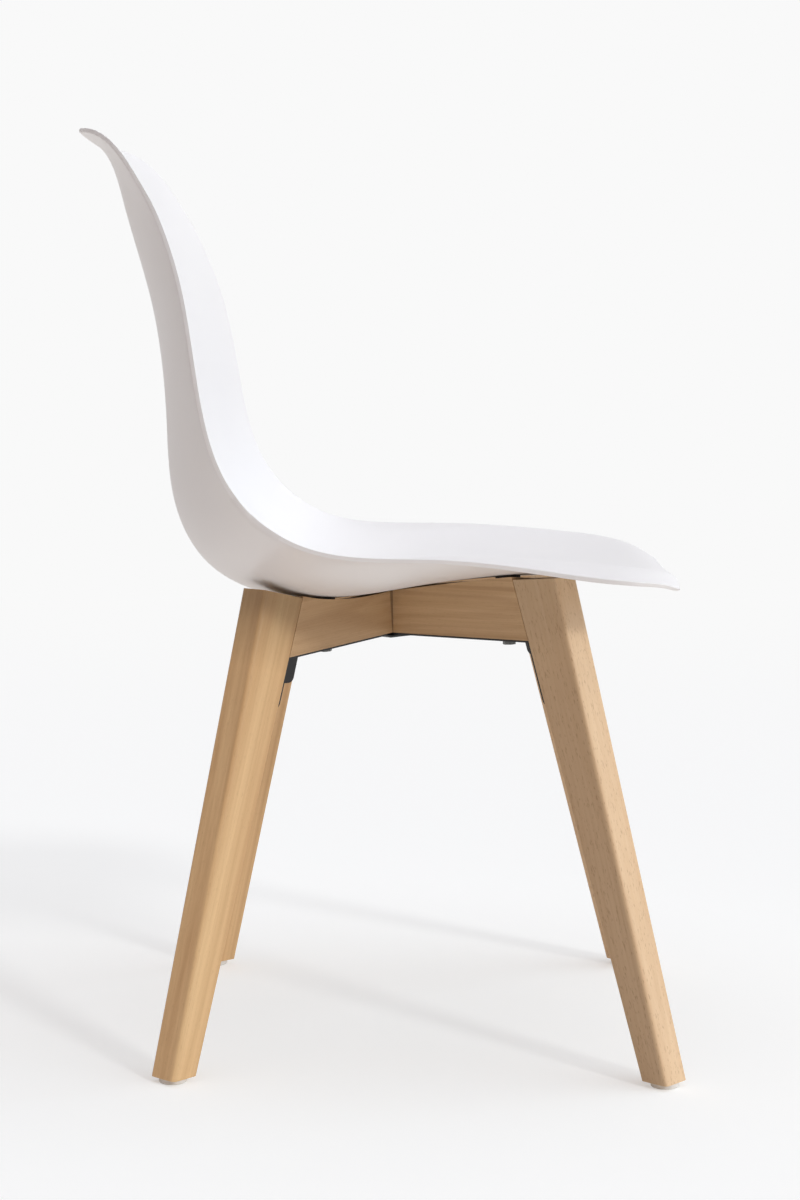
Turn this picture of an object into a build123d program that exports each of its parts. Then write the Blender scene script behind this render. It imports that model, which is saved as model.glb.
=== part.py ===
from build123d import *
import math
import os

# Dining chair in millimetres: a one-piece plastic shell on a wooden cross base with four legs.
# The chair faces -Y and stands on z = 0. Left and right are the sitter's, so right is -X.

# Shell wall, side dish and rounded corners
shell_wall = 4.0
dish_power = 2.2
roll_start = 0.8
front_roll_spread = 0.3
front_roll_length = 22.0
front_corner_length = 65.0
front_corner_width = 108.0
front_corner_start = 18.0
top_corner_length = 110.0
top_corner_width = 115.0
top_corner_start = 25.0

# Height of the seat's underside at its lowest station
seat_z = 398.0

# Shell stations on the underside, from the front lip to the top lip:
# y from the rail crossing, z from seat_z, rise of the sides, half width, downward roll of the side rim
shell_stations = [
    (-249, 21, 9, 212, 8),
    (-237, 24, 15, 217, 12),
    (-212, 25, 20, 222, 16),
    (-134, 22, 33, 223, 18),
    (-44, 14, 47, 219, 14),
    (46, 0, 58, 217, 6),
    (115, 4, 69, 219, 0),
    (168, 33, 74, 222, 0),
    (197, 91, 67, 225, 0),
    (202, 162, 48, 226, 0),
    (214, 263, 41, 204, 0),
    (239, 354, 31, 172, 0),
    (259, 402, 13, 170, 0),
    (271, 410, 5, 157, 0),
]
seat_stations = 8

# Legs: distance of the foot's inner face from the rail crossing, lean, slope of the top and section
wood_t = 30.0
front_angle = 42.0
rear_angle = 48.0
front_foot_r = 303.0
rear_foot_r = 261.5
front_lean = 19.3
rear_lean = 18.1
front_top_slope = 5.0
rear_top_slope = 13.0
leg_foot_w = 26.0
leg_taper = 2.85
leg_edge_r = 4.0
leg_inner_edge_r = 1.0
leg_gap = 2.5

# Rails: underside at the crossing below seat_z, slopes, and the gap up to the shell at the crossing
rail_drop = 32.7
front_rail_slope = 1.8
rear_rail_slope = -4.75
rail_gap = 1.0
crown_spans = 5

# Dowels between rails and legs
dowel_d = 8.0
dowel_in_leg = 18.0
dowel_in_rail = 14.0
dowel_low = 14.0
dowel_pitch = 18.0
hole_end_gap = 0.5
hole_fit = 0.05

# Steel straps under the rails
strap_t = 1.8
strap_inset = 1.0
upper_tab = 58.0
lower_tab = 46.0
tab_end_r = 5.0
cross_clear = 2.0
dip_ramp = 8.0
washer_t = 1.2
washer_ring = 5.5

# Screws of the straps
tab_screw_d = 4.0
tab_screw_lip = 2.0
tab_screw_length = 24.0
tab_screw_low = 14.0
tab_screw_pitch = 20.0
centre_screw_d = 5.0
centre_screw_in_wood = 24.0
centre_head_lip = 2.5
centre_head_t = 1.2

# Shell bolts, inward from the legs' inner faces, with their bosses, inserts and pads
front_bolt_inset = 34.0
rear_bolt_inset = 60.0
bolt_d = 6.0
bolt_clear = 0.3
bolt_head_lip = 2.0
bolt_head_t = 4.0
insert_wall = 1.5
insert_h = 9.0
boss_skin = 2.0
boss_h = 8.0
boss_side_gap = 0.5
boss_end_gap = 1.0
pad_ring = 4.0
pad_t = 2.5

# Floor glides and their nails
glide_inset = 1.0
glide_h = 5.0
glide_edge_r = 1.5
nail_d = 3.0
nail_in_leg = 16.0
nail_in_glide = 3.0

# Fineness of the shell's surfaces and of the searches for heights under it
corner_rows = 12
middle_rows = 40
half_columns = 14
surface_tol = 0.1
run_step = 0.5
rim_step = 0.002
search_steps = 30

# Sizes that follow from those above
rail_z = seat_z - rail_drop
strap_w = wood_t - 2 * strap_inset
cross_flat = strap_w / 2 + cross_clear
insert_d = bolt_d + 2 * insert_wall
boss_d = insert_d + 2 * boss_skin
recess_d = boss_d + 2 * boss_side_gap
up = Vector(0, 0, 1)


def natural_spline(knots, values):
    """Cubic curve through the values, with no bend at its two ends."""
    n = len(knots)
    step = [knots[i + 1] - knots[i] for i in range(n - 1)]
    slope = [(values[i + 1] - values[i]) / step[i] for i in range(n - 1)]
    ratio = [0.0] * n
    bend = [0.0] * n
    for i in range(1, n - 1):
        pivot = 2 * (step[i - 1] + step[i]) - step[i - 1] * ratio[i - 1]
        ratio[i] = step[i] / pivot
        bend[i] = (6 * (slope[i] - slope[i - 1]) - step[i - 1] * bend[i - 1]) / pivot
    for i in range(n - 2, 0, -1):
        bend[i] -= ratio[i] * bend[i + 1]

    def value(t):
        i = 0
        while i < n - 2 and t > knots[i + 1]:
            i += 1
        a = (knots[i + 1] - t) / step[i]
        b = 1 - a
        curve = (a**3 - a) * bend[i] + (b**3 - b) * bend[i + 1]
        return a * values[i] + b * values[i + 1] + curve * step[i] ** 2 / 6

    return value


run = [0.0]
for one, two in zip(shell_stations, shell_stations[1:]):
    run.append(run[-1] + math.hypot(two[0] - one[0], two[1] - one[1]))
shell_run = run[-1]
seat_run = run[seat_stations - 1]
mid_y, mid_z, side_rise, half_width, side_roll = [
    natural_spline(run, [station[k] for station in shell_stations]) for k in range(5)
]


def corner_cut(end_distance, length, width, start):
    """Half width lost to a rounded corner at this distance from an end of the shell."""
    part = max(math.cos(math.radians(start)) - end_distance / length, 0.0)
    return width * (1 - math.sqrt(1 - part * part))


def rim_half_width(s):
    front = corner_cut(s, front_corner_length, front_corner_width, front_corner_start)
    top = corner_cut(shell_run - s, top_corner_length, top_corner_width, top_corner_start)
    return half_width(s) - front - top


def underside_point(s, u):
    """Point of the underside at run s, with u from -1 at one rim to 1 at the other."""
    y_step = mid_y(s + run_step) - mid_y(s - run_step)
    z_step = mid_z(s + run_step) - mid_z(s - run_step)
    size = math.hypot(y_step, z_step)
    x = u * rim_half_width(s)
    start = roll_start - front_roll_spread * math.exp(-s / front_roll_length)
    roll = max((abs(u) - start) / (1 - start), 0.0) ** 2
    rise = side_rise(s) * (abs(x) / half_width(s)) ** dish_power - side_roll(s) * roll
    return Vector(x, mid_y(s) - rise * z_step / size, seat_z + mid_z(s) + rise * y_step / size)


def inside_point(s, u):
    """The underside point moved through the wall to the sitting side, without moving it sideways."""
    along = underside_point(s + run_step, u) - underside_point(s - run_step, u)
    across = underside_point(s, u + rim_step) - underside_point(s, u - rim_step)
    normal = across.cross(along).normalized()
    level = Vector(0, normal.Y, normal.Z)
    return underside_point(s, u) + level * (shell_wall / level.dot(level))


def underside_z(x, y):
    """Height of the seat's underside over a plan point."""
    low = 0.0
    high = seat_run
    for _ in range(search_steps):
        s = (low + high) / 2
        point = underside_point(s, x / rim_half_width(s))
        if point.Y < y:
            low = s
        else:
            high = s
    return point.Z


def corner_runs(length, start):
    """Distances of the rows of points in a rounded corner from the end of the shell."""
    turns = [math.radians(start + (90 - start) * k / corner_rows) for k in range(corner_rows + 1)]
    return [length * (math.cos(turns[0]) - math.cos(turn)) for turn in turns]


def shell_surface(point_at):
    """Smooth face through a grid of points, closer together in the rounded corners."""
    first = corner_runs(front_corner_length, front_corner_start)
    last = [shell_run - distance for distance in reversed(corner_runs(top_corner_length, top_corner_start))]
    step = (last[0] - first[-1]) / middle_rows
    between = [first[-1] + step * k for k in range(1, middle_rows)]
    columns = [math.sin(math.pi / 2 * k / half_columns) for k in range(-half_columns, half_columns + 1)]
    grid = [[point_at(s, u) for u in columns] for s in first + between + last]
    return Face.make_surface_from_array_of_points(grid, tol=surface_tol, min_deg=3)


def shell_body():
    outer = shell_surface(underside_point)
    inner = shell_surface(inside_point)
    rim = []
    for edge in outer.edges():
        other = inner.edges().sort_by_distance(edge.center())[0]
        rim.append(Face.make_surface_from_curves(edge, other))
    return Solid(Shell([outer, inner] + rim))


class Arm:
    """One right-hand leg with its rail: r runs out from the crossing, z runs up."""

    def __init__(self, toward, angle, foot_r, lean, top_slope, slope, bolt_inset):
        turn = math.radians(angle)
        self.out = Vector(-math.sin(turn), toward * math.cos(turn), 0)
        self.side = self.out.cross(up)
        self.plane = Plane((0, 0, 0), x_dir=self.out, z_dir=self.side)
        self.toward = toward
        self.foot_r = foot_r
        self.lean = math.radians(lean)
        self.outer_lean = math.radians(lean - leg_taper)
        self.top_slope = math.radians(top_slope)
        self.slope = math.radians(slope)
        self.bolt_r = self.corner().X - bolt_inset

    def inner_r(self, z):
        return self.foot_r - (z - glide_h) * math.tan(self.lean)

    def rail_bottom(self, r):
        return rail_z + (r - cross_flat) * math.tan(self.slope)

    def corner(self):
        """Where the underside of the rail meets the inner face of the leg."""
        fall = math.tan(self.lean)
        climb = math.tan(self.slope)
        r = (self.inner_r(rail_z) + cross_flat * fall * climb) / (1 + fall * climb)
        return Vector(r, self.rail_bottom(r))

    def face_axis(self, below):
        """Frame on the leg's inner face, below the corner, looking into the leg."""
        start = self.corner() + Vector(math.sin(self.lean), -math.cos(self.lean)) * below
        into = self.out * math.cos(self.lean) + up * math.sin(self.lean)
        return Plane(self.place(start), x_dir=self.side, z_dir=into)

    def bolt_axis(self):
        """Frame on the underside of the rail at the bolt, looking up the bolt."""
        start = Vector(self.bolt_r, self.rail_bottom(self.bolt_r))
        axis = up * math.cos(self.slope) - self.out * math.sin(self.slope)
        return Plane(self.place(start), x_dir=self.side, z_dir=axis)

    def bolt_rise(self):
        """Distance from the underside of the rail up the bolt to the shell."""
        frame = self.bolt_axis()
        rise = 0.0
        for _ in range(search_steps):
            point = frame.origin + frame.z_dir * rise
            rise += underside_z(point.X, point.Y) - point.Z
        return rise

    def place(self, point):
        return self.out * point.X + up * point.Y

    def shell_z(self, r, across):
        point = self.out * r + self.side * across
        return underside_z(point.X, point.Y)

    def slab(self, points, thickness):
        outline = make_face(Polyline(*[(p.X, p.Y) for p in points], close=True))
        return extrude(self.plane * outline, amount=thickness / 2, both=True)


def leg_outline(arm, top_z):
    """Leg corners from the inner foot round to the outer foot, with a sloping top."""
    inner = Vector(arm.inner_r(top_z), top_z)
    outer_r = arm.foot_r + leg_foot_w - (top_z - glide_h) * math.tan(arm.outer_lean)
    climb = math.tan(arm.top_slope)
    width = (outer_r - inner.X) / (1 + climb * math.tan(arm.outer_lean))
    outer = inner + Vector(1, climb) * width
    return [Vector(arm.foot_r, glide_h), inner, outer, Vector(arm.foot_r + leg_foot_w, glide_h)]


def leg_top(arm):
    """Height of the leg's inner top corner that leaves the gap under the shell."""
    low = rail_z
    high = arm.shell_z(arm.inner_r(rail_z), 0)
    for _ in range(search_steps):
        middle = (low + high) / 2
        corners = leg_outline(arm, middle)[1:3]
        room = [arm.shell_z(p.X, across) - p.Y for p in corners for across in (-wood_t / 2, wood_t / 2)]
        if min(room) > leg_gap:
            low = middle
        else:
            high = middle
    return low


def drill(diameter, frame, start, depth):
    """Round bar along a frame's axis, from start to start plus depth."""
    bar = Cylinder(diameter / 2, depth, align=(Align.CENTER, Align.CENTER, Align.MIN))
    return frame * Pos(0, 0, start) * bar


def dowel_frames(arm):
    return [arm.face_axis(-dowel_low - k * dowel_pitch) for k in range(2)]


def tab_frames(arm):
    return [arm.face_axis(tab_screw_low + k * tab_screw_pitch) for k in range(2)]


def glide_frame(arm):
    return Plane(arm.place(Vector(arm.foot_r + leg_foot_w / 2, glide_h)), x_dir=arm.out, z_dir=up)


def make_dowels(arm):
    length = dowel_in_rail + dowel_in_leg
    return [drill(dowel_d, frame, -dowel_in_rail, length) for frame in dowel_frames(arm)]


def dowel_holes(arm):
    start = -dowel_in_rail - hole_end_gap
    length = dowel_in_rail + dowel_in_leg + 2 * hole_end_gap
    return [drill(dowel_d + 2 * hole_fit, frame, start, length) for frame in dowel_frames(arm)]


def make_leg(arm):
    leg = arm.slab(leg_outline(arm, leg_top(arm)), wood_t)
    long_edges = leg.edges().sort_by(SortBy.LENGTH)[-4:]
    long_edges = long_edges.sort_by(lambda edge: math.hypot(edge.center().X, edge.center().Y))
    leg = fillet(long_edges[2:], leg_edge_r)
    inner_edges = leg.edges().sort_by_distance(arm.place(Vector(arm.inner_r(rail_z / 2), rail_z / 2)))[:2]
    leg = fillet(inner_edges, leg_inner_edge_r)
    leg -= dowel_holes(arm)
    screw_hole = tab_screw_d + 2 * hole_fit
    screw_depth = tab_screw_length - strap_t + hole_end_gap
    leg -= [drill(screw_hole, frame, 0, screw_depth) for frame in tab_frames(arm)]
    return leg - drill(nail_d + 2 * hole_fit, glide_frame(arm), 0, nail_in_leg + hole_end_gap)


def rail_side(arm, across):
    """Outline of one side of a rail, with its top a little below the shell."""
    corner = arm.corner()
    end_r = arm.inner_r(leg_top(arm))
    rows = [end_r * k / crown_spans for k in range(crown_spans + 1)]
    gaps = [rail_gap + (pad_t - rail_gap) * r / arm.bolt_r for r in rows]
    crown = [Vector(r, arm.shell_z(r, across) - gap) for r, gap in zip(rows, gaps)]
    crown[-1] = Vector(arm.inner_r(crown[-1].Y), crown[-1].Y)
    bottom = [crown[-1], corner, Vector(cross_flat, rail_z), Vector(0, rail_z), crown[0]]
    edges = [Spline(*[(p.X, p.Y) for p in crown])]
    edges += [Line((a.X, a.Y), (b.X, b.Y)) for a, b in zip(bottom, bottom[1:])]
    return arm.plane.offset(across) * Wire(edges)


def rail_wedge(arm, other):
    """Plan sector that one rail keeps at the mitred crossing."""
    reach = 2 * arm.foot_r
    half = (arm.out + other.out).normalized() * reach
    sector = make_face(Polyline((0, 0), (0, arm.toward * reach), (half.X, half.Y), close=True))
    return extrude(sector, amount=2 * rail_z)


def make_rail(arm, other):
    rail = Solid.make_loft([rail_side(arm, -wood_t / 2), rail_side(arm, wood_t / 2)], ruled=True)
    rail &= rail_wedge(arm, other)
    frame = arm.bolt_axis()
    rise = arm.bolt_rise()
    rail -= dowel_holes(arm)
    rail -= drill(bolt_d + 2 * bolt_clear, frame, -rise, 2 * rise)
    rail -= drill(recess_d, frame, rise - boss_h - boss_end_gap, 2 * boss_h)
    pilot = centre_screw_in_wood + hole_end_gap
    return rail - drill(centre_screw_d + 2 * hole_fit, Plane((0, 0, rail_z)), 0, pilot)


def offset_corners(points, distance):
    """Corners of the line that runs beside the points, on its right."""
    turns = [(b - a).normalized() for a, b in zip(points, points[1:])]
    sides = [Vector(t.Y, -t.X) * distance for t in turns]
    shifted = [points[0] + sides[0]]
    for k in range(1, len(turns)):
        bisector = (sides[k - 1] + sides[k]).normalized()
        shifted.append(points[k] + bisector * (distance**2 / bisector.dot(sides[k])))
    return shifted + [points[-1] + sides[-1]]


def strap_half(arm, other, dip, tab):
    """Half a strap from the crossing to the end of its tab, dip below the rail at the crossing."""
    corner = arm.corner()
    end = corner + Vector(math.sin(arm.lean), -math.cos(arm.lean)) * tab
    flat = [Vector(-strap_w / 2, rail_z - dip), Vector(cross_flat, rail_z - dip)]
    if dip:
        ramp_r = cross_flat + dip_ramp
        flat.append(Vector(ramp_r, arm.rail_bottom(ramp_r)))
    line = flat + [corner, end]
    half = arm.slab(line + offset_corners(line, strap_t)[::-1], strap_w)
    short_edges = half.edges().sort_by(SortBy.LENGTH)[:4]
    half = fillet(short_edges.sort_by_distance(arm.place(end))[:2], tab_end_r)
    seam = Plane((0, 0, 0), z_dir=arm.out - Vector(-other.out.X, other.out.Y, 0))
    return split(half, bisect_by=seam, keep=Keep.TOP)


def strap_holes(arm):
    hole = bolt_d + 2 * bolt_clear
    holes = [drill(hole, arm.bolt_axis(), -2 * strap_t, 4 * strap_t)]
    return holes + [tab_screw(frame, hole_fit) for frame in tab_frames(arm)]


def tab_screw(frame, fit):
    """Countersunk screw, flush with the strap and driven into the leg."""
    head_r = tab_screw_d / 2 + tab_screw_lip + fit
    foot = (Align.CENTER, Align.CENTER, Align.MIN)
    head = Cone(head_r, tab_screw_d / 2 + fit, strap_t, align=foot)
    shank = drill(tab_screw_d + 2 * fit, frame, -strap_t, tab_screw_length)
    return frame * Pos(0, 0, -strap_t) * head + shank


def make_bolt(arm):
    frame = arm.bolt_axis()
    hexagon = RegularPolygon(bolt_d / 2 + bolt_head_lip, 6, major_radius=False)
    head = frame * Pos(0, 0, -strap_t - bolt_head_t) * extrude(hexagon, amount=bolt_head_t)
    length = strap_t + arm.bolt_rise() - boss_h + insert_h
    return head + drill(bolt_d, frame, -strap_t, length)


def make_insert(arm):
    start = arm.bolt_rise() - boss_h
    ring = drill(insert_d, arm.bolt_axis(), start, insert_h)
    return ring - drill(bolt_d + 2 * hole_fit, arm.bolt_axis(), start, insert_h)


def make_pad(arm, shell, rail):
    """Rubber ring that fills the gap between rail and shell round the boss."""
    start = arm.bolt_rise() - boss_h
    length = boss_h + shell_wall
    ring = drill(recess_d + 2 * pad_ring, arm.bolt_axis(), start, length)
    ring -= drill(recess_d, arm.bolt_axis(), start, length)
    return (ring - rail - shell).solids().sort_by(Axis.Z)[0]


def make_glide(arm):
    frame = glide_frame(arm)
    glide = drill(leg_foot_w - 2 * glide_inset, frame, -glide_h, glide_h)
    glide = fillet(glide.edges().sort_by(Axis.Z)[0], glide_edge_r)
    return glide - drill(nail_d + 2 * hole_fit, frame, -nail_in_glide, nail_in_glide)


def make_nail(arm):
    return drill(nail_d, glide_frame(arm), -nail_in_glide, nail_in_glide + nail_in_leg)


def left(shape):
    return mirror(shape, about=Plane.YZ)


def pair(shapes):
    """Group of separate solids for both sides."""
    return Compound(shapes + [left(shape) for shape in shapes])


front = Arm(-1, front_angle, front_foot_r, front_lean, front_top_slope, front_rail_slope, front_bolt_inset)
rear = Arm(1, rear_angle, rear_foot_r, rear_lean, rear_top_slope, rear_rail_slope, rear_bolt_inset)


def make_shell():
    shell = shell_body()
    for arm in (front, rear):
        start = arm.bolt_rise() - boss_h
        boss = drill(boss_d, arm.bolt_axis(), start, boss_h + shell_wall / 2)
        hole = drill(insert_d + 2 * hole_fit, arm.bolt_axis(), start, insert_h + hole_end_gap)
        shell = shell + boss + left(boss) - hole - left(hole)
    return shell


def make_strap(right_arm, left_arm, dip, tab):
    strap = strap_half(right_arm, left_arm, dip, tab) + left(strap_half(left_arm, right_arm, dip, tab))
    strap -= strap_holes(right_arm)
    strap -= [left(hole) for hole in strap_holes(left_arm)]
    return strap - drill(centre_screw_d + 2 * bolt_clear, Plane.XY, 0, rail_z)


def make_washer():
    frame = Plane((0, 0, rail_z - strap_t - washer_t))
    washer = drill(centre_screw_d + 2 * washer_ring, frame, 0, washer_t)
    return washer - drill(centre_screw_d + 2 * bolt_clear, frame, 0, washer_t)


def make_centre_screw():
    """Flat-headed screw through both straps and the washer into the meeting rails."""
    stack = 2 * strap_t + washer_t
    frame = Plane((0, 0, rail_z - stack))
    head = drill(centre_screw_d + 2 * centre_head_lip, frame, -centre_head_t, centre_head_t)
    return head + drill(centre_screw_d, frame, 0, stack + centre_screw_in_wood)


shell = make_shell()
nodes = {
    "seat_shell": shell,
    "strap_upper": make_strap(front, rear, 0, upper_tab),
    "strap_lower": make_strap(rear, front, strap_t + washer_t, lower_tab),
    "centre_washer": make_washer(),
    "centre_screw": make_centre_screw(),
    "leg_dowels": pair(make_dowels(front) + make_dowels(rear)),
    "shell_inserts": pair([make_insert(front), make_insert(rear)]),
    "tab_screws": pair([tab_screw(frame, 0) for arm in (front, rear) for frame in tab_frames(arm)]),
    "glide_nails": pair([make_nail(front), make_nail(rear)]),
}
for end, arm, other in (("front", front, rear), ("rear", rear, front)):
    rail = make_rail(arm, other)
    nodes[f"shell_bolts_{end}"] = pair([make_bolt(arm)])
    nodes[f"shell_pads_{end}"] = pair([make_pad(arm, shell, rail)])
    for piece, shape in (("leg", make_leg(arm)), ("rail", rail), ("glide", make_glide(arm))):
        nodes[f"{piece}_{end}_right"] = shape
        nodes[f"{piece}_{end}_left"] = left(shape)

# The origin is on the floor under the middle of the whole chair
boxes = [shape.bounding_box() for shape in nodes.values()]
middle_y = (min(box.min.Y for box in boxes) + max(box.max.Y for box in boxes)) / 2
os.makedirs("parts", exist_ok=True)
for name, shape in nodes.items():
    export_step(Pos(0, -middle_y, 0) * shape, f"parts/{name}.step")
print("rail crossing at y", round(-middle_y, 2))
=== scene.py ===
import math

import bpy
import numpy as np
from mathutils import Matrix, Vector


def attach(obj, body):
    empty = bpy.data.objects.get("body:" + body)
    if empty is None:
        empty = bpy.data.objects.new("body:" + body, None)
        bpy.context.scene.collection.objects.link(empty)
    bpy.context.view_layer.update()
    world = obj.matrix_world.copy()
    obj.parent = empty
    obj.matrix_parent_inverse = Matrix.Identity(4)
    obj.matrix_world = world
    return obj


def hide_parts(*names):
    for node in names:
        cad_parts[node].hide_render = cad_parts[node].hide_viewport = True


# Dining chair with a white plastic shell on a beech base, in metres. The chair faces -Y.
# Left and right are the sitter's, so right is -X, the side that the camera sees.

mm = 0.001

# Place of the rail crossing along y
crossing_y = -9.07 * mm

# Camera: place, downward tilt, turn about the vertical and focal length
camera_place = (-2.255, -0.04607, 0.620)
camera_tilt = 5.75
camera_turn = 0.752
camera_lens = 73.98

# Lights: direction to the light, colour where 1 shows a surface as written, and softness in degrees
lights = {
    "front": ((-0.129, -0.918, 0.375), (0.345, 0.390, 0.425), 70),
    "side": ((-0.666, -0.579, 0.469), (0.270, 0.270, 0.270), 8),
    "overhead": ((0.0, -0.10, 1.0), (0.455, 0.465, 0.485), 80),
}

# World: fill light from all around, and the white that the camera and reflections see instead
ambient = (0.070, 0.020, 0.010, 1)
backdrop = 0.947

# Floor: half its length, and the distances between which it fades into the white of the world
floor_reach = 30.0
floor_fade = (0.7, 4.0)

# Floor as it is seen: colour that takes the shadows, and an even glow added to it
floor_shade = (0.615, 0.637, 0.632, 1)
floor_glow = 0.445

# Floor as it lights the chair from below: colour, and an even glow added to it
floor_bounce = (0.90, 0.85, 0.81, 1)
bounce_glow = (0.107, 0.105, 0.085, 1)

# Shell wall, side dish and rounded corners, in millimetres as in the part's source
shell_wall = 4.0
dish_power = 2.2
roll_start = 0.8
front_roll_spread = 0.3
front_roll_length = 22.0
front_corner_length = 65.0
front_corner_width = 108.0
front_corner_start = 18.0
top_corner_length = 110.0
top_corner_width = 115.0
top_corner_start = 25.0
seat_z = 398.0

# Shell stations on the underside, from the front lip to the top lip:
# y from the rail crossing, z from seat_z, rise of the sides, half width, downward roll of the side rim
shell_stations = [
    (-249, 21, 9, 212, 8),
    (-237, 24, 15, 217, 12),
    (-212, 25, 20, 222, 16),
    (-134, 22, 33, 223, 18),
    (-44, 14, 47, 219, 14),
    (46, 0, 58, 217, 6),
    (115, 4, 69, 219, 0),
    (168, 33, 74, 222, 0),
    (197, 91, 67, 225, 0),
    (202, 162, 48, 226, 0),
    (214, 263, 41, 204, 0),
    (239, 354, 31, 172, 0),
    (259, 402, 13, 170, 0),
    (271, 410, 5, 157, 0),
]

# Fineness of the shell's mesh, and half the length over which its direction is measured
corner_rows = 16
middle_rows = 110
half_columns = 44
slope_step = 0.5

# Side rim: rounding of its edges, overhang of the sitting side and how near to the rim the overhang keeps
rim_radius = 1.0
rim_segments = 3
rim_angle = 40.0
rim_overhang = 1.6
rim_power = 24

# Front and top edge: rounding, its limit at the very edge, and distances of the first rows of points
end_radius = 2.0
end_limit = 0.98
end_rows = (0.0, 0.15, 0.5, 1.1)

# Bosses under the shell: foot of the boss on the right side and its axis, then radii, edge and length
boss_feet = {
    "front": ((-93.416, -103.749, 415.898), (0.02102, 0.02334, 0.99951)),
    "rear": ((-66.994, 60.322, 393.642), (-0.06154, 0.05541, 0.99657)),
}
boss_outer = 6.5
boss_inner = 4.5
boss_edge = 0.6
boss_length = 10.0
boss_sides = 40

# Base: way along y, plan angle, foot distance, lean of the leg and slope of the rail
arms = {
    "front": (-1, 42.0, 303.0, 19.3, 1.8),
    "rear": (1, 48.0, 261.5, 18.1, -4.75),
}

# Heights of the rails' underside at the crossing and of the legs' lower ends
rail_z = 365.3
foot_z = 5.0

# Usual range of noise, which is stretched to the range that a material needs
noise_range = (0.3, 0.7)

# Beech: fineness of its figure across and along the grain, and flattening of the rings along it
sway_scale = (25, 25, 5)
streak_scale = (85, 85, 1.3)
fibre_scale = (1100, 1100, 16)
fleck_scale = (900, 900, 190)
ring_flattening = (1, 1, 0.10)
ring_wobble = {"Distortion": 3.5, "Detail": 2.0, "Detail Scale": 1.2}
fleck_range = (0.62, 0.70)

# Steps between the pieces in the figure, so that no two look alike
board_step = 11.3
rail_step = 3.7
dowel_step = 50.0

# Beech: pale and deep tone, line and fleck; place and tilt of the heart; fineness of the rings;
# strength of rings, fibres and flecks; share of the colour that is left on the sides of a piece,
# which is painted shade on the legs; and two distances along the grain with the share of the colour
# that is left at each, which is painted shade under the shell at the legs' tops and a dark glue line
# at the rails' inner ends
wood_looks = {
    "leg_front": {
        "tones": ((232, 202, 163), (222, 189, 148), (196, 156, 116), (164, 120, 84)),
        "heart": (0.0, 0.055, 0.0),
        "heart_tilt": (0.045, 0.0, 0.0),
        "ring_scale": 60.0,
        "ring_depth": 0.20,
        "fibre_depth": 0.16,
        "fleck_depth": 0.42,
        "painted_side_shade": 0.82,
        "end_shade_and_glue_line": (0.36, 0.43, 1.0, 0.84),
    },
    "leg_rear": {
        "tones": ((242, 206, 154), (217, 175, 125), (196, 152, 104), (168, 122, 82)),
        "heart": (0.050, 0.010, 0.0),
        "heart_tilt": (0.0, 0.010, 0.0),
        "ring_scale": 42.0,
        "ring_depth": 0.16,
        "fibre_depth": 0.16,
        "fleck_depth": 0.14,
        "painted_side_shade": 0.92,
        "end_shade_and_glue_line": (0.35, 0.41, 1.0, 0.60),
    },
    # The rails' tones are set deeper than the legs', which paints in part the shade under the seat
    "rail": {
        "tones": ((204, 172, 132), (188, 155, 115), (153, 117, 80), (136, 100, 68)),
        "heart": (0.030, -0.026, 0.0),
        "heart_tilt": (0.0, 0.03, 0.0),
        "ring_scale": 55.0,
        "ring_depth": 0.48,
        "fibre_depth": 0.24,
        "fleck_depth": 0.14,
        "painted_side_shade": 1.0,
        "end_shade_and_glue_line": (0.0150, 0.0163, 0.45, 1.0),
    },
}

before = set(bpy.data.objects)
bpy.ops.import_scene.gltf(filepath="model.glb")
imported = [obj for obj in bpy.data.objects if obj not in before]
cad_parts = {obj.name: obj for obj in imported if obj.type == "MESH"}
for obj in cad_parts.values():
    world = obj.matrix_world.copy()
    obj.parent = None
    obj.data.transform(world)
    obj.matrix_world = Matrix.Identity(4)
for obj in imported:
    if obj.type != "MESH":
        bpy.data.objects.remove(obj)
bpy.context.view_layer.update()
scene = bpy.context.scene
scene.view_settings.view_transform = "Standard"


def linear(red, green, blue):
    """Colour written as in an ordinary picture, 0 to 255, in the renderer's own scale."""
    parts = [value / 255 for value in (red, green, blue)]
    return [part / 12.92 if part < 0.04045 else ((part + 0.055) / 1.055) ** 2.4 for part in parts] + [1.0]


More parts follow.
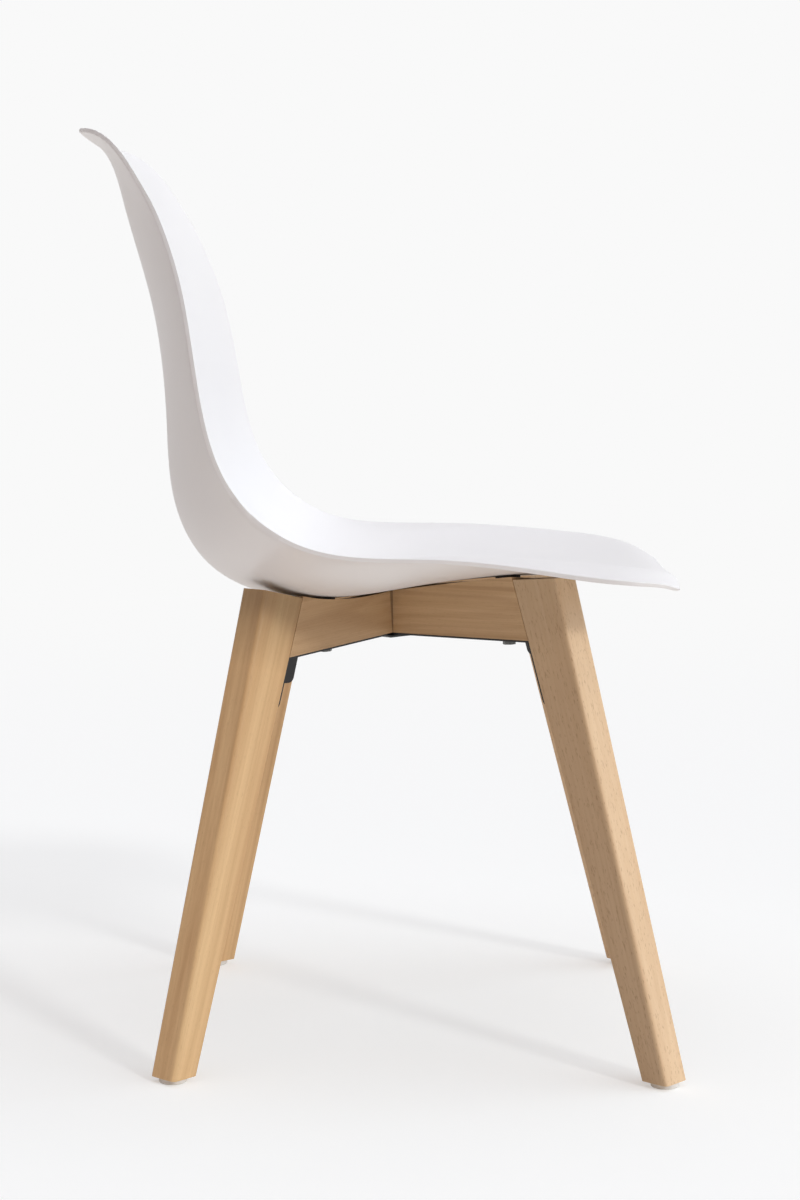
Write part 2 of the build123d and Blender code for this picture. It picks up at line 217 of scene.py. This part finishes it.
class Graph:
    """A material's nodes, added one by one."""

    def __init__(self, name):
        self.material = bpy.data.materials.new(name)
        self.material.use_nodes = True
        self.nodes = self.material.node_tree.nodes
        self.links = self.material.node_tree.links
        self.shader = self.nodes["Principled BSDF"]
        places = self.add("ShaderNodeTexCoord").outputs
        self.coords = places["Object"]
        self.normals = places["Normal"]

    def set(self, node, inputs):
        for socket, value in inputs.items():
            if isinstance(value, bpy.types.NodeSocket):
                self.links.new(value, node.inputs[socket])
            else:
                node.inputs[socket].default_value = value

    def add(self, kind, inputs=None, **settings):
        node = self.nodes.new(kind)
        for name, value in settings.items():
            setattr(node, name, value)
        self.set(node, inputs or {})
        return node

    def finish(self, **inputs):
        self.set(self.shader, {name.replace("_", " "): value for name, value in inputs.items()})
        return self.material

    def mapped(self, vector, scale, shift=0.0):
        inputs = {"Vector": vector, "Scale": scale, "Location": (shift, shift, shift)}
        return self.add("ShaderNodeMapping", inputs).outputs["Vector"]

    def noise(self, vector, scale=1.0, detail=2.0, roughness=0.5):
        inputs = {"Vector": vector, "Scale": scale, "Detail": detail, "Roughness": roughness}
        return self.add("ShaderNodeTexNoise", inputs).outputs["Fac"]

    def spread(self, value, low, high, out_low=0.0, out_high=1.0, kind="LINEAR"):
        inputs = {"Value": value, "From Min": low, "From Max": high, "To Min": out_low, "To Max": out_high}
        return self.add("ShaderNodeMapRange", inputs, interpolation_type=kind).outputs["Result"]

    def vary(self, noise, low=0.0, high=1.0):
        return self.spread(noise, *noise_range, low, high)

    def math(self, operation, one, two):
        node = self.add("ShaderNodeMath", {0: one, 1: two}, operation=operation)
        return node.outputs["Value"]

    def blend(self, factor, one, two, kind="MIX"):
        node = self.add("ShaderNodeMix", data_type="RGBA", blend_type=kind)
        self.set(node, {0: factor, 6: one, 7: two})
        return node.outputs[2]

    def mottled(self, noise, one, two):
        return self.blend(self.vary(noise), linear(*one), linear(*two))

    def bump(self, height, distance, strength):
        inputs = {"Height": height, "Distance": distance, "Strength": strength}
        return self.add("ShaderNodeBump", inputs).outputs["Normal"]


def shell_plastic():
    graph = Graph("white_polypropylene")
    cloud = graph.noise(graph.coords, 9.0, 3.0)
    grain = graph.noise(graph.coords, 1500.0, 2.0)
    colour = graph.mottled(cloud, (236, 236, 237), (239, 239, 239))
    rough = graph.math("ADD", graph.vary(cloud, 0.36, 0.44), graph.vary(grain, -0.03, 0.03))
    return graph.finish(Base_Color=colour, Roughness=rough, Normal=graph.bump(grain, 0.00003, 0.08))


def wood(name, start, grain, face, shift, look):
    """Beech with its grain along one direction, seen from the face direction; look sets tones and figure,
    the painted shade on the legs' sides and top ends, and the rails' glue line.
    """
    graph = Graph(name)
    side = face.cross(grain).normalized()
    turn = Matrix((side, grain.cross(side), grain))
    place = {"Vector": graph.coords, "Location": -(turn @ start), "Rotation": turn.to_euler()}
    local = graph.add("ShaderNodeMapping", place).outputs["Vector"]
    sway = graph.noise(graph.mapped(local, sway_scale, shift), 1.0, 2.0)
    streaks = graph.noise(graph.mapped(local, streak_scale, shift), 1.0, 4.0, 0.62)
    fibres = graph.noise(graph.mapped(local, fibre_scale, shift), 1.0, 3.0, 0.6)
    flecks = graph.noise(graph.mapped(local, fleck_scale, shift), 1.0, 1.0, 0.5)
    heart = {"Vector": local, "Location": look["heart"], "Rotation": look["heart_tilt"]}
    centred = graph.add("ShaderNodeMapping", heart).outputs["Vector"]
    wave = {"Vector": graph.mapped(centred, ring_flattening), "Scale": look["ring_scale"], **ring_wobble}
    rings = graph.add("ShaderNodeTexWave", wave, wave_type="RINGS", rings_direction="Z").outputs["Fac"]
    ring_mask = graph.spread(rings, 0.45, 1.0)
    ring_mask = graph.math("MULTIPLY", ring_mask, graph.spread(sway, 0.35, 0.65, 0.3, 1.0))
    pale, deep, line, fleck = [linear(*tone) for tone in look["tones"]]
    colour = graph.blend(graph.spread(streaks, 0.32, 0.68), pale, deep)
    colour = graph.blend(graph.math("MULTIPLY", ring_mask, look["ring_depth"]), colour, line)
    colour = graph.blend(graph.spread(fibres, 0.40, 0.72, 0.0, look["fibre_depth"]), colour, line)
    colour = graph.blend(graph.spread(flecks, *fleck_range, 0.0, look["fleck_depth"]), colour, fleck)
    # Painted shade: faces that look along the piece's side are darkened by the side share
    facing = graph.add("ShaderNodeVectorMath", {0: graph.normals, 1: side}, operation="DOT_PRODUCT")
    sideways = graph.math("ABSOLUTE", facing.outputs["Value"], 0.0)
    side_shade_share = graph.spread(sideways, 0.5, 0.9, 1.0, look["painted_side_shade"])
    # Painted shade under the shell toward the legs' top ends, and a dark glue line at the rails' inner ends
    along = graph.add("ShaderNodeSeparateXYZ", {0: local}).outputs["Z"]
    share = graph.math("MULTIPLY", side_shade_share, graph.spread(along, *look["end_shade_and_glue_line"]))
    colour = graph.blend(1.0, colour, share, "MULTIPLY")
    rough = graph.vary(fibres, 0.42, 0.54)
    height = graph.math("SUBTRACT", fibres, graph.spread(flecks, *fleck_range, 0.0, 0.4))
    return graph.finish(Base_Color=colour, Roughness=rough, Normal=graph.bump(height, 0.00008, 0.35))


def black_steel():
    graph = Graph("black_powder_coat")
    speckle = graph.noise(graph.coords, 1400.0, 2.0)
    cloud = graph.noise(graph.coords, 40.0, 3.0)
    colour = graph.mottled(cloud, (26, 26, 27), (36, 36, 37))
    rough = graph.vary(speckle, 0.42, 0.60)
    return graph.finish(Base_Color=colour, Roughness=rough, Normal=graph.bump(speckle, 0.0001, 0.4))


def zinc_steel():
    graph = Graph("zinc_plate")
    cloud = graph.noise(graph.coords, 220.0, 3.0)
    scratch = graph.noise(graph.mapped(graph.coords, (2500, 300, 2500)), 1.0, 2.0)
    colour = graph.mottled(cloud, (72, 72, 70), (104, 103, 100))
    rough = graph.vary(scratch, 0.24, 0.42)
    normal = graph.bump(scratch, 0.00003, 0.3)
    return graph.finish(Base_Color=colour, Metallic=1.0, Roughness=rough, Normal=normal)


def pad_rubber():
    graph = Graph("dark_rubber")
    cloud = graph.noise(graph.coords, 300.0, 3.0)
    colour = graph.mottled(cloud, (34, 34, 34), (52, 51, 50))
    rough = graph.vary(cloud, 0.72, 0.86)
    return graph.finish(Base_Color=colour, Roughness=rough, Normal=graph.bump(cloud, 0.0001, 0.4))


def insert_brass():
    graph = Graph("turned_brass")
    lines = graph.noise(graph.mapped(graph.coords, (300, 300, 6000)), 1.0, 2.0)
    colour = graph.mottled(lines, (196, 160, 92), (218, 186, 120))
    rough = graph.vary(lines, 0.25, 0.40)
    normal = graph.bump(lines, 0.00003, 0.3)
    return graph.finish(Base_Color=colour, Metallic=1.0, Roughness=rough, Normal=normal)


def glide_plastic():
    graph = Graph("milky_nylon")
    cloud = graph.noise(graph.coords, 160.0, 3.0)
    wear = graph.noise(graph.coords, 1800.0, 2.0)
    colour = graph.mottled(cloud, (226, 225, 221), (236, 235, 232))
    rough = graph.vary(wear, 0.40, 0.55)
    return graph.finish(Base_Color=colour, Roughness=rough, Normal=graph.bump(wear, 0.00008, 0.3))


def natural_spline(knots, values):
    """Cubic curve through the values, with no bend at its two ends."""
    n = len(knots)
    step = np.diff(knots)
    slope = np.diff(values) / step
    ratio = [0.0] * n
    bend = [0.0] * n
    for i in range(1, n - 1):
        pivot = 2 * (step[i - 1] + step[i]) - step[i - 1] * ratio[i - 1]
        ratio[i] = step[i] / pivot
        bend[i] = (6 * (slope[i] - slope[i - 1]) - step[i - 1] * bend[i - 1]) / pivot
    for i in range(n - 2, 0, -1):
        bend[i] -= ratio[i] * bend[i + 1]
    bend = np.array(bend)
    values = np.array(values, dtype=float)

    def value(t):
        i = np.clip(np.searchsorted(knots, t) - 1, 0, n - 2)
        a = (knots[i + 1] - t) / step[i]
        b = 1 - a
        curve = (a**3 - a) * bend[i] + (b**3 - b) * bend[i + 1]
        return a * values[i] + b * values[i + 1] + curve * step[i] ** 2 / 6

    return value


def corner_cut(end_distance, length, width, start):
    """Half width lost to a rounded corner at this distance from an end of the shell."""
    part = np.maximum(math.cos(math.radians(start)) - end_distance / length, 0.0)
    return width * (1 - np.sqrt(1 - part * part))


def corner_runs(length, start):
    """Distances of the rows of points in a rounded corner from the end of the shell."""
    turns = np.radians(np.linspace(start, 90, corner_rows + 1))
    return np.concatenate([end_rows, length * (np.cos(turns[0]) - np.cos(turns[1:]))])


def shell_grids():
    """Underside and sitting side as rows of points from the front lip to the top lip, in metres."""
    table = np.array(shell_stations, dtype=float)
    run = np.concatenate([[0.0], np.cumsum(np.hypot(np.diff(table[:, 0]), np.diff(table[:, 1])))])
    mid_y, mid_z, side_rise, half_width, side_roll = [natural_spline(run, table[:, k]) for k in range(5)]
    first = corner_runs(front_corner_length, front_corner_start)
    last = run[-1] - corner_runs(top_corner_length, top_corner_start)[::-1]
    between = np.linspace(first[-1], last[0], middle_rows + 1)[1:-1]
    s = np.concatenate([first, between, last])
    u = np.linspace(-1, 1, 2 * half_columns + 1)
    y_step = mid_y(s + slope_step) - mid_y(s - slope_step)
    z_step = mid_z(s + slope_step) - mid_z(s - slope_step)
    size = np.hypot(y_step, z_step)
    rim = half_width(s) - corner_cut(s, front_corner_length, front_corner_width, front_corner_start)
    rim = rim - corner_cut(run[-1] - s, top_corner_length, top_corner_width, top_corner_start)
    x = np.outer(rim, u)
    start = (roll_start - front_roll_spread * np.exp(-s / front_roll_length))[:, None]
    roll = np.maximum((np.abs(u)[None, :] - start) / (1 - start), 0.0) ** 2
    rise = side_rise(s)[:, None] * (np.abs(x) / half_width(s)[:, None]) ** dish_power
    rise = rise - side_roll(s)[:, None] * roll
    y = mid_y(s)[:, None] - rise * (z_step / size)[:, None]
    z = seat_z + mid_z(s)[:, None] + rise * (y_step / size)[:, None]
    outer = np.stack([x, y, z], axis=2)
    inward = np.cross(np.gradient(outer, axis=1), np.gradient(outer, axis=0))
    inward /= np.linalg.norm(inward, axis=2)[:, :, None]
    level = inward * np.array([0, 1, 1])
    level /= np.sum(level * level, axis=2)[:, :, None]
    ahead = np.clip(1 - np.minimum(s, run[-1] - s) / end_radius, 0.0, end_limit)
    thin = (1 - np.sqrt(1 - ahead**2))[:, None, None] * level * shell_wall / 2
    inner = outer + level * shell_wall - thin
    outer = outer + thin
    inner[:, :, 0] += rim_overhang * np.sign(u) * np.abs(u) ** rim_power
    shift = np.array([0, crossing_y, 0])
    return outer * mm + shift, inner * mm + shift


def boss_ring(foot, axis, mirror):
    """Points and faces of one boss, from its foot up into the shell wall."""
    foot = Vector((foot[0] * mirror, foot[1], foot[2]))
    axis = Vector((axis[0] * mirror, axis[1], axis[2]))
    first = axis.orthogonal().normalized()
    second = axis.cross(first)
    profile = [
        (boss_inner, boss_length),
        (boss_inner, 0.0),
        (boss_outer - boss_edge, 0.0),
        (boss_outer, boss_edge),
        (boss_outer, boss_length),
    ]
    crossing = Vector((0, crossing_y, 0))
    points = []
    for k in range(boss_sides):
        turn = 2 * math.pi * k / boss_sides
        way = first * math.cos(turn) + second * math.sin(turn)
        points += [(foot + way * radius + axis * rise) * mm + crossing for radius, rise in profile]
    n = len(profile)
    faces = []
    for k in range(boss_sides):
        here = k * n
        there = (k + 1) % boss_sides * n
        faces += [(here + j, here + (j + 1) % n, there + (j + 1) % n, there + j) for j in range(n)]
    return points, faces


def make_shell():
    """Shell with its bosses: the two sides, the wall between them all round, then four rings."""
    outer, inner = shell_grids()
    rows, columns = outer.shape[:2]
    count = rows * columns
    points = [tuple(point) for point in np.concatenate([outer.reshape(-1, 3), inner.reshape(-1, 3)])]
    faces = []
    for i in range(rows - 1):
        for j in range(columns - 1):
            a = i * columns + j
            faces.append((a, a + columns, a + columns + 1, a + 1))
            faces.append((a + count, a + 1 + count, a + columns + 1 + count, a + columns + count))
    loop = list(range(columns))
    loop += [i * columns + columns - 1 for i in range(1, rows)]
    loop += [(rows - 1) * columns + j for j in range(columns - 2, -1, -1)]
    loop += [i * columns for i in range(rows - 2, 0, -1)]
    for a, b in zip(loop, loop[1:] + loop[:1]):
        faces.append((a, b, b + count, a + count))
    for foot, axis in boss_feet.values():
        for mirror in (1, -1):
            ring, sides = boss_ring(foot, axis, mirror)
            base = len(points)
            points += [tuple(point) for point in ring]
            faces += [tuple(base + k for k in side) for side in sides]
    mesh = bpy.data.meshes.new("seat_shell_skin")
    mesh.from_pydata(points, [], faces)
    mesh.validate()
    mesh.shade_smooth()
    shell = bpy.data.objects.new("seat_shell_skin", mesh)
    scene.collection.objects.link(shell)
    bevel = shell.modifiers.new("rounded_rim", "BEVEL")
    bevel.width = rim_radius * mm
    bevel.segments = rim_segments
    bevel.limit_method = "ANGLE"
    bevel.angle_limit = math.radians(rim_angle)
    bevel.harden_normals = True
    bevel.use_clamp_overlap = False
    return shell


shell = make_shell()
shell.data.materials.append(shell_plastic())
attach(shell, "root")
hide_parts("seat_shell")



def dress(material, *names):
    for name in names:
        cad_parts[name].material_slots[0].material = material


dress(black_steel(), "strap_upper", "strap_lower")
zinc = zinc_steel()
dress(zinc, "centre_washer", "centre_screw", "tab_screws", "glide_nails")
dress(zinc, "shell_bolts_front", "shell_bolts_rear")
dress(pad_rubber(), "shell_pads_front", "shell_pads_rear")
dress(insert_brass(), "shell_inserts")
dress(glide_plastic(), "glide_front_left", "glide_front_right", "glide_rear_left", "glide_rear_right")

# Legs and rails, each with the grain along it
up = Vector((0, 0, 1))
crossing = Vector((0, crossing_y, 0))
shift = 0.0
for end, (toward, angle, foot_r, lean, slope) in arms.items():
    for hand, mirror in (("right", 1), ("left", -1)):
        turn = math.radians(angle)
        out = Vector((-math.sin(turn) * mirror, toward * math.cos(turn), 0))
        tilt = math.radians(lean)
        grain = (up * math.cos(tilt) - out * math.sin(tilt)).normalized()
        start = crossing + (out * foot_r + up * foot_z) * mm
        material = wood(f"beech_leg_{end}_{hand}", start, grain, out, shift, wood_looks[f"leg_{end}"])
        dress(material, f"leg_{end}_{hand}")
        tilt = math.radians(slope)
        grain = (out * math.cos(tilt) + up * math.sin(tilt)).normalized()
        start = crossing + up * rail_z * mm
        material = wood(f"beech_rail_{end}_{hand}", start, grain, up, shift + rail_step, wood_looks["rail"])
        dress(material, f"rail_{end}_{hand}")
        shift += board_step
dress(wood("beech_dowels", crossing, Vector((1, 0, 0)), up, dowel_step, wood_looks["rail"]), "leg_dowels")


def make_floor():
    """Floor that shows soft shadows to the camera and throws plain light up at the chair."""
    points = [(x * floor_reach, y * floor_reach, 0) for x, y in ((-1, -1), (1, -1), (1, 1), (-1, 1))]
    mesh = bpy.data.meshes.new("floor")
    mesh.from_pydata(points, [], [(0, 1, 2, 3)])
    floor = bpy.data.objects.new("floor", mesh)
    scene.collection.objects.link(floor)
    graph = Graph("pale_floor")
    graph.nodes.remove(graph.shader)
    path = graph.add("ShaderNodeLightPath").outputs
    seen = graph.math("MAXIMUM", path["Is Camera Ray"], path["Is Glossy Ray"])

    def glowing(surface_colour, glow_colour, strength):
        diffuse = graph.add("ShaderNodeBsdfDiffuse", {"Color": surface_colour}).outputs[0]
        glow = graph.add("ShaderNodeEmission", {"Color": glow_colour, "Strength": strength}).outputs[0]
        return graph.add("ShaderNodeAddShader", {0: diffuse, 1: glow}).outputs[0]

    bounce = glowing(floor_bounce, bounce_glow, 1.0)
    near = glowing(floor_shade, (1, 1, 1, 1), floor_glow)
    far = graph.add("ShaderNodeEmission", {"Color": (1, 1, 1, 1), "Strength": backdrop}).outputs[0]
    away = graph.add("ShaderNodeVectorMath", {0: graph.coords}, operation="LENGTH").outputs["Value"]
    fade = graph.spread(away, *floor_fade, kind="SMOOTHSTEP")
    shown = graph.add("ShaderNodeMixShader", {0: fade, 1: near, 2: far}).outputs[0]
    surface = graph.add("ShaderNodeMixShader", {0: seen, 1: bounce, 2: shown}).outputs[0]
    graph.links.new(surface, graph.nodes["Material Output"].inputs["Surface"])
    mesh.materials.append(graph.material)


def make_lights():
    for name, (toward, colour, softness) in lights.items():
        light = bpy.data.lights.new(name, "SUN")
        light.energy = math.pi
        light.color = colour
        light.angle = math.radians(softness)
        lamp = bpy.data.objects.new(name, light)
        lamp.rotation_euler = Vector(toward).to_track_quat("Z", "Y").to_euler()
        scene.collection.objects.link(lamp)
    world = bpy.data.worlds.new("studio")
    world.use_nodes = True
    scene.world = world
    nodes = world.node_tree.nodes
    links = world.node_tree.links
    fill = nodes["Background"]
    fill.inputs["Color"].default_value = ambient
    seen = nodes.new("ShaderNodeBackground")
    seen.inputs["Color"].default_value = (1, 1, 1, 1)
    seen.inputs["Strength"].default_value = backdrop
    path = nodes.new("ShaderNodeLightPath")
    either = nodes.new("ShaderNodeMath")
    either.operation = "MAXIMUM"
    links.new(path.outputs["Is Camera Ray"], either.inputs[0])
    links.new(path.outputs["Is Glossy Ray"], either.inputs[1])
    mix = nodes.new("ShaderNodeMixShader")
    links.new(either.outputs[0], mix.inputs[0])
    links.new(fill.outputs[0], mix.inputs[1])
    links.new(seen.outputs[0], mix.inputs[2])
    links.new(mix.outputs[0], nodes["World Output"].inputs["Surface"])


def make_camera():
    lens = bpy.data.cameras.new("camera")
    lens.lens = camera_lens
    camera = bpy.data.objects.new("camera", lens)
    camera.location = camera_place
    camera.rotation_euler = (math.radians(90 - camera_tilt), 0, math.radians(camera_turn - 90))
    scene.collection.objects.link(camera)
    scene.camera = camera


make_floor()
make_lights()
make_camera()

bpy.context.view_layer.update()
